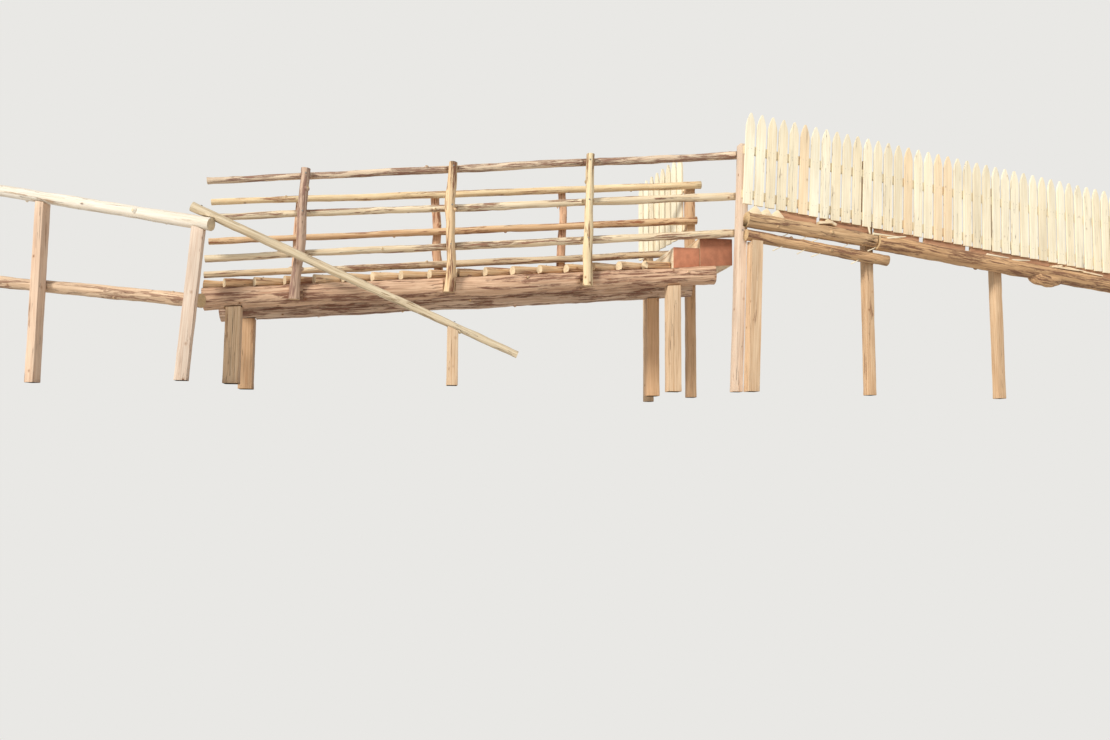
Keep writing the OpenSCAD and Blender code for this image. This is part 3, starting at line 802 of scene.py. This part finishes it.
class FOOTBRIDGE_OT_fence(bpy.types.Operator):
    """Finishes the picket fence and the wing, nails them up and finishes their posts"""
    bl_idname = "footbridge.fence"
    bl_label = "Picket Fence"

    def execute(self, context):
        sizes = context.scene.footbridge_logs
        for part, bay in enumerate(FENCE_BAYS):
            self.panel(f"fence_panel_{part + 1}", FENCE_START, FENCE_TURN, bay, FENCE_FOOT_H,
                       FENCE_LEANS)
        self.panel("wing_panel", WING_START, WING_TURN, WING_BAY, WING_FOOT_H, (0.0, 0.0))
        for i, x in enumerate(FENCE_POST_PLACES):
            hewn_post(f"fence_post_{i + 1}", "hewn timber", FENCE_START + FENCE_ALONG * x, UP,
                      sizes.arris)
        hewn_post("wing_post", "hewn timber",
                  WING_START + heading(WING_TURN, 0) * WING_POST_PLACE, UP, sizes.arris)
        return {"FINISHED"}

    def panel(self, node, origin, turn, bay, foot_h, leans):
        """One bay of pickets and its two rails. The pickets' lean changes along the fence."""
        first, count = bay
        along = heading(turn, 0)
        out = Vector((math.sin(turn), -math.cos(turn), 0)) * (1 if turn < 1 else -1)
        rail_way = heading(turn, -FENCE_FALL)
        rail_side = sidewise(rail_way)
        half_gap = (PICKET_PITCH - PICKET_W) / 2

        def lean_at(x):
            done = (x - FENCE_BAYS[0][0]) / FENCE_LENGTH
            return math.radians(leans[0] + (leans[1] - leans[0]) * done)

        def foot_at(x):
            return foot_h - x * math.tan(FENCE_FALL)

        def stand(picket):
            """The left corner of a picket's foot on its front face, and its ways up and across."""
            x = first + picket * PICKET_PITCH
            lean = lean_at(x)
            return (origin + along * x + UP * foot_at(x) + out * PICKET_FRONT,
                    UP * math.cos(lean) + along * math.sin(lean),
                    along * math.cos(lean) - UP * math.sin(lean))

        def places(co):
            """The rails behind the pickets share one grain and the palest tone, which is painted
            light that lifts them out of the shade they lie in behind the pickets.
            """
            offset = co - origin
            x = offset.dot(along)
            if offset.dot(out) < PICKET_BACK:
                # Palest tone for the rails: painted light against the shade behind the pickets.
                return origin, rail_way, rail_side, 11.0, 1.0
            x -= (co.z - foot_at(x)) * math.tan(lean_at(x))
            picket = math.floor((x - first + half_gap) / PICKET_PITCH)
            picket = min(max(picket, 0), count - 1)
            _, way, side = stand(picket)
            dice = random.Random(f"{node} {picket}")
            level = 0.0 if (node, picket) in DARK_PICKETS else dice.uniform(0.35, 1.0)
            pith = origin + along * (first + picket * PICKET_PITCH + PICKET_W / 2) + out * 0.02
            return pith, way, side, dice.uniform(0, 90), level

        piece = copy_of(node, f"{node}_boards", "picket board")
        spots = []
        for picket in range(count):
            foot, way, side = stand(picket)
            self.narrow(piece, foot + side * PICKET_W / 2, way, side, out)
            spots += [(foot + side * beside + way * height, out)
                      for height in NAIL_HEIGHTS for beside in NAIL_SIDES]
        wear_edges(piece, 0.0022, segments=1, angle=50)
        finish_piece(piece, node, places, angle=20)
        heads(f"{node}_nails", spots, NAIL_R)

    def narrow(self, piece, centre, way, side, out):
        """Narrows one picket about its own centre line, so that the gaps are as open as in the
        photo. Its vertices are those within its width, thickness and height, with a little room."""
        only(piece)
        bpy.ops.object.mode_set(mode="EDIT")
        bpy.ops.mesh.select_all(action="DESELECT")
        bpy.ops.object.mode_set(mode="OBJECT")
        for vertex in piece.data.vertices:
            offset = vertex.co - centre
            vertex.select = (abs(offset.dot(side)) < PICKET_W / 2 + 0.001
                             and offset.dot(out) > -0.0235 and -0.005 < offset.dot(way) < 1.1)
        bpy.ops.object.mode_set(mode="EDIT")
        bpy.ops.transform.resize(value=(PICKET_SHRINK, 1, 1), orient_type="GLOBAL",
                                 orient_matrix_type="GLOBAL", orient_matrix=(side, out, way),
                                 center_override=centre)
        bpy.ops.object.mode_set(mode="OBJECT")


class FOOTBRIDGE_OT_sills(bpy.types.Operator):
    """Finishes the sill logs and their stub post, and adds boards, shims, splinters and a burl"""
    bl_idname = "footbridge.sills"
    bl_label = "Sill Logs"

    def execute(self, context):
        sizes = context.scene.footbridge_logs
        for node, (x, drop, d, less) in SILLS.items():
            start = below_feet(x, d / 2 - 0.010, drop)
            way = heading(FENCE_TURN, -FENCE_FALL + math.radians(less))
            round_log(node, "sill log", start, way, sizes.swell * 1.5, stubs=6,
                      radius=d / 2 - 0.008)
            if node == "long_sill_log":
                self.burl(one_timber(node, start, way))
        hewn_post("sill_stub", "hewn timber",
                  FENCE_START + FENCE_ALONG * STUB_PLACE + FENCE_OUT * STUB_OUT,
                  leaning(STUB_LEAN), sizes.arris)
        self.foot_boards()
        self.shims()
        self.splinters()
        return {"FINISHED"}

    def burl(self, places):
        """A burl that swells out below the long sill log, with the log's own grain."""
        bpy.ops.object.select_all(action="DESELECT")
        bpy.ops.mesh.primitive_uv_sphere_add(
            segments=40, ring_count=24, location=below_feet(BURL_PLACE, BURL_OUT, BURL_DROP),
            scale=(0.23, 0.084, 0.096), rotation=(0, FENCE_FALL, FENCE_TURN))
        piece = bpy.context.active_object
        bpy.ops.object.transform_apply(location=True, rotation=True, scale=True)
        for size, strength in ((0.16, 0.036), (0.05, 0.006)):
            displace(piece, cloud(f"burl {size}", size), strength, 0.55)
        join("sill_burl", [piece], finish("sill log")[:1], 60)
        write_grain(piece, places)

    def plank(self, spot, size, rise, name):
        """A rough board or shim that lies along the fence, with worn arrises and waney faces."""
        bpy.ops.object.select_all(action="DESELECT")
        bpy.ops.mesh.primitive_cube_add(size=1, location=spot, scale=size,
                                        rotation=(0, FENCE_FALL - math.radians(rise), FENCE_TURN))
        board = bpy.context.active_object
        bpy.ops.object.transform_apply(location=True, rotation=True, scale=True)
        slice_along(board, spot, heading(FENCE_TURN, -FENCE_FALL + math.radians(rise)), 0.04)
        wear_edges(board, 0.003)
        displace(board, cloud(name, 0.12), 0.009, 0.6)
        return board

    def finish_boards(self, name, made, look):
        way = heading(FENCE_TURN, -FENCE_FALL)
        piece = join(name, made, finish(look), 30)
        write_grain(piece, one_timber(name, FENCE_START, way))
        mark_ends(piece, lambda co: way)

    def foot_boards(self):
        """Boards behind the pickets' feet that stand on the sill logs, with open joints. Their dark
        brown is painted shade, standing in for the shaded gap between the feet and the sill logs.
        """
        made = []
        for start, end, drop in FOOT_BOARDS:
            size = ((end - start) / math.cos(FENCE_FALL), BOARD_THICK, BOARD_TALL)
            spot = below_feet((start + end) / 2, BOARD_OUT, drop)
            made.append(self.plank(spot, size, 0, "waney edge"))
        self.finish_boards("foot_boards", made, "foot board")

    def shims(self):
        """Pale wedges and shims that pack the pickets' feet up from the sill logs."""
        made = [self.plank(below_feet(x, SHIM_OUT, drop), (length, width, thick), rise,
                           "split face")
                for x, drop, length, width, thick, rise in SHIMS]
        self.finish_boards("sill_shims", made, "picket board")

    def splinters(self):
        """Split packing pieces and chips that lie on the sill logs and poke out between them."""
        made = []
        for x, drop, far_out, length, rise in SPLINTERS:
            wide = 0.007 if drop > 0.2 else 0.014
            made.append(cone(7, wide, wide * 0.35, length, below_feet(x, far_out, drop),
                             (0, math.radians(90 - rise), FENCE_TURN)))
        piece = join("sill_splinters", made, finish("picket board")[:1], 25)
        write_grain(piece, one_timber("splinters", FENCE_START, heading(FENCE_TURN, -FENCE_FALL)))


class FOOTBRIDGE_OT_stage(bpy.types.Operator):
    """Sets out the floor, the lights and the camera"""
    bl_idname = "footbridge.stage"
    bl_label = "Stage"

    def execute(self, context):
        look = context.scene.footbridge_stage
        self.floor(context)
        self.lamps(context, look)
        self.room(context, look)
        self.camera(context, look)
        context.scene.view_settings.view_transform = "Standard"
        return {"FINISHED"}

    def floor(self, context):
        """A pale floor that is clear to camera rays from below, since the photo's camera stands
        lower than the bridge's ground."""
        bpy.ops.object.select_all(action="DESELECT")
        bpy.ops.mesh.primitive_plane_add(size=160, location=(3, 0, 0))
        floor = context.active_object
        floor.name = "floor"
        material, tree = new_material("pale studio floor")
        shader = add(tree, "ShaderNodeBsdfPrincipled", {
            "Base Color": linear("#DAD8D3"), "Roughness": 0.9})
        clear = add(tree, "ShaderNodeBsdfTransparent")
        behind = add(tree, "ShaderNodeNewGeometry").outputs["Backfacing"]
        seen = add(tree, "ShaderNodeLightPath").outputs["Is Camera Ray"]
        mix = add(tree, "ShaderNodeMixShader", {
            0: compute(tree, "MULTIPLY", behind, seen), 1: shader.outputs[0],
            2: clear.outputs[0]})
        add(tree, "ShaderNodeOutputMaterial", {"Surface": mix.outputs[0]})
        floor.data.materials.append(material)

    def lamps(self, context, look):
        """A low warm sun from the near left and a large soft lamp on the camera's side."""
        ray = Vector((0.72, 0.50, -0.50))
        bpy.ops.object.light_add(type="SUN", rotation=ray.to_track_quat("-Z", "Y").to_euler())
        sun = context.active_object
        sun.name = "key light"
        sun.data.energy = look.key
        sun.data.angle = math.radians(14)
        sun.data.color = (1.0, 0.97, 0.92)
        bpy.ops.object.light_add(type="AREA", location=(6.5, -17, 11),
                                 rotation=(math.radians(60), 0, math.radians(12)))
        fill = context.active_object
        fill.name = "fill light"
        fill.data.energy = look.fill
        fill.data.size = 16

    def room(self, context, look):
        """Light from all round, and pale paper behind the bridge for the camera."""
        world = bpy.data.worlds.new("studio")
        context.scene.world = world
        world.use_nodes = True
        tree = world.node_tree
        tree.nodes.clear()
        path = add(tree, "ShaderNodeLightPath")
        seen = compute(tree, "MAXIMUM", path.outputs["Is Camera Ray"],
                       path.outputs["Is Glossy Ray"])
        room = add(tree, "ShaderNodeBackground", {
            "Color": linear("#E4E8EE"), "Strength": look.room})
        paper = add(tree, "ShaderNodeBackground", {"Color": linear("#E9E8E5"), "Strength": 1.0})
        mix = add(tree, "ShaderNodeMixShader", {0: seen, 1: room.outputs[0], 2: paper.outputs[0]})
        add(tree, "ShaderNodeOutputWorld", {"Surface": mix.outputs[0]})

    def camera(self, context, look):
        """The camera at the photo's place and angle."""
        yaw, pitch, roll = (math.radians(a) for a in (look.yaw, look.pitch, look.roll))
        ahead = heading(math.pi / 2 - yaw, pitch)
        right = Vector((math.cos(yaw), -math.sin(yaw), 0))
        above = right.cross(ahead)
        right, above = (math.cos(roll) * right + math.sin(roll) * above,
                        math.cos(roll) * above - math.sin(roll) * right)
        turn = Matrix((right, above, -ahead)).transposed()
        bpy.ops.object.camera_add(location=look.camera, rotation=turn.to_euler())
        camera = context.active_object
        camera.name = "camera"
        camera.data.sensor_width = 36
        camera.data.lens = look.lens
        camera.data.clip_end = 300
        context.scene.camera = camera


class FootbridgeLogs(bpy.types.PropertyGroup):
    swell: FloatProperty(
        name="Swell", description="How uneven the peeled logs are",
        default=0.014, min=0.0, max=0.03, unit="LENGTH")
    wander: FloatProperty(
        name="Wander", description="How far the rails wander from a straight line",
        default=0.028, min=0.0, max=0.04, unit="LENGTH")
    crook: FloatProperty(
        name="Crook", description="How crooked the railing posts are",
        default=0.055, min=0.0, max=0.08, unit="LENGTH")
    arris: FloatProperty(
        name="Arris", description="Width of the worn edges of squared timber",
        default=0.006, min=0.001, max=0.02, unit="LENGTH")


class FootbridgeStage(bpy.types.PropertyGroup):
    camera: FloatVectorProperty(
        name="Camera", description="Place of the camera",
        default=(1.605, -8.625, -0.58), size=3, unit="LENGTH")
    yaw: FloatProperty(
        name="Yaw", description="Turn of the view to the right, in degrees", default=9.79)
    pitch: FloatProperty(
        name="Pitch", description="Tilt of the view upwards, in degrees", default=5.08)
    roll: FloatProperty(
        name="Roll", description="Roll of the view, in degrees", default=0.39)
    lens: FloatProperty(
        name="Lens", description="Focal length of the camera, in millimetres", default=28.4)
    key: FloatProperty(
        name="Key light", description="Strength of the key light", default=3.15)
    fill: FloatProperty(
        name="Fill light", description="Power of the fill light, in watts", default=620.0)
    room: FloatProperty(
        name="Room light", description="Strength of the light from all round", default=0.62)


class FOOTBRIDGE_PT_panel(bpy.types.Panel):
    """Lists the steps that finish the footbridge"""
    bl_label = "Footbridge"
    bl_idname = "FOOTBRIDGE_PT_panel"
    bl_space_type = "VIEW_3D"
    bl_region_type = "UI"
    bl_category = "Footbridge"

    def draw(self, context):
        layout = self.layout
        for group in (context.scene.footbridge_logs, context.scene.footbridge_stage):
            box = layout.box()
            for name in group.__annotations__:
                box.prop(group, name)
        for step in STEPS:
            layout.operator(step.bl_idname)


STEPS = (FOOTBRIDGE_OT_beams, FOOTBRIDGE_OT_deck, FOOTBRIDGE_OT_steps, FOOTBRIDGE_OT_railings,
         FOOTBRIDGE_OT_handrail, FOOTBRIDGE_OT_fence, FOOTBRIDGE_OT_sills, FOOTBRIDGE_OT_stage)
CLASSES = (FootbridgeLogs, FootbridgeStage) + STEPS + (FOOTBRIDGE_PT_panel,)


def register():
    for cls in CLASSES:
        bpy.utils.register_class(cls)
    bpy.types.Scene.footbridge_logs = PointerProperty(type=FootbridgeLogs)
    bpy.types.Scene.footbridge_stage = PointerProperty(type=FootbridgeStage)


def unregister():
    del bpy.types.Scene.footbridge_stage
    del bpy.types.Scene.footbridge_logs
    for cls in reversed(CLASSES):
        bpy.utils.unregister_class(cls)


def main():
    register()
    bpy.ops.footbridge.beams()
    bpy.ops.footbridge.deck()
    bpy.ops.footbridge.steps()
    bpy.ops.footbridge.railings()
    bpy.ops.footbridge.handrail()
    bpy.ops.footbridge.fence()
    bpy.ops.footbridge.sills()
    bpy.ops.footbridge.stage()


if __name__ == "__main__":
    main()
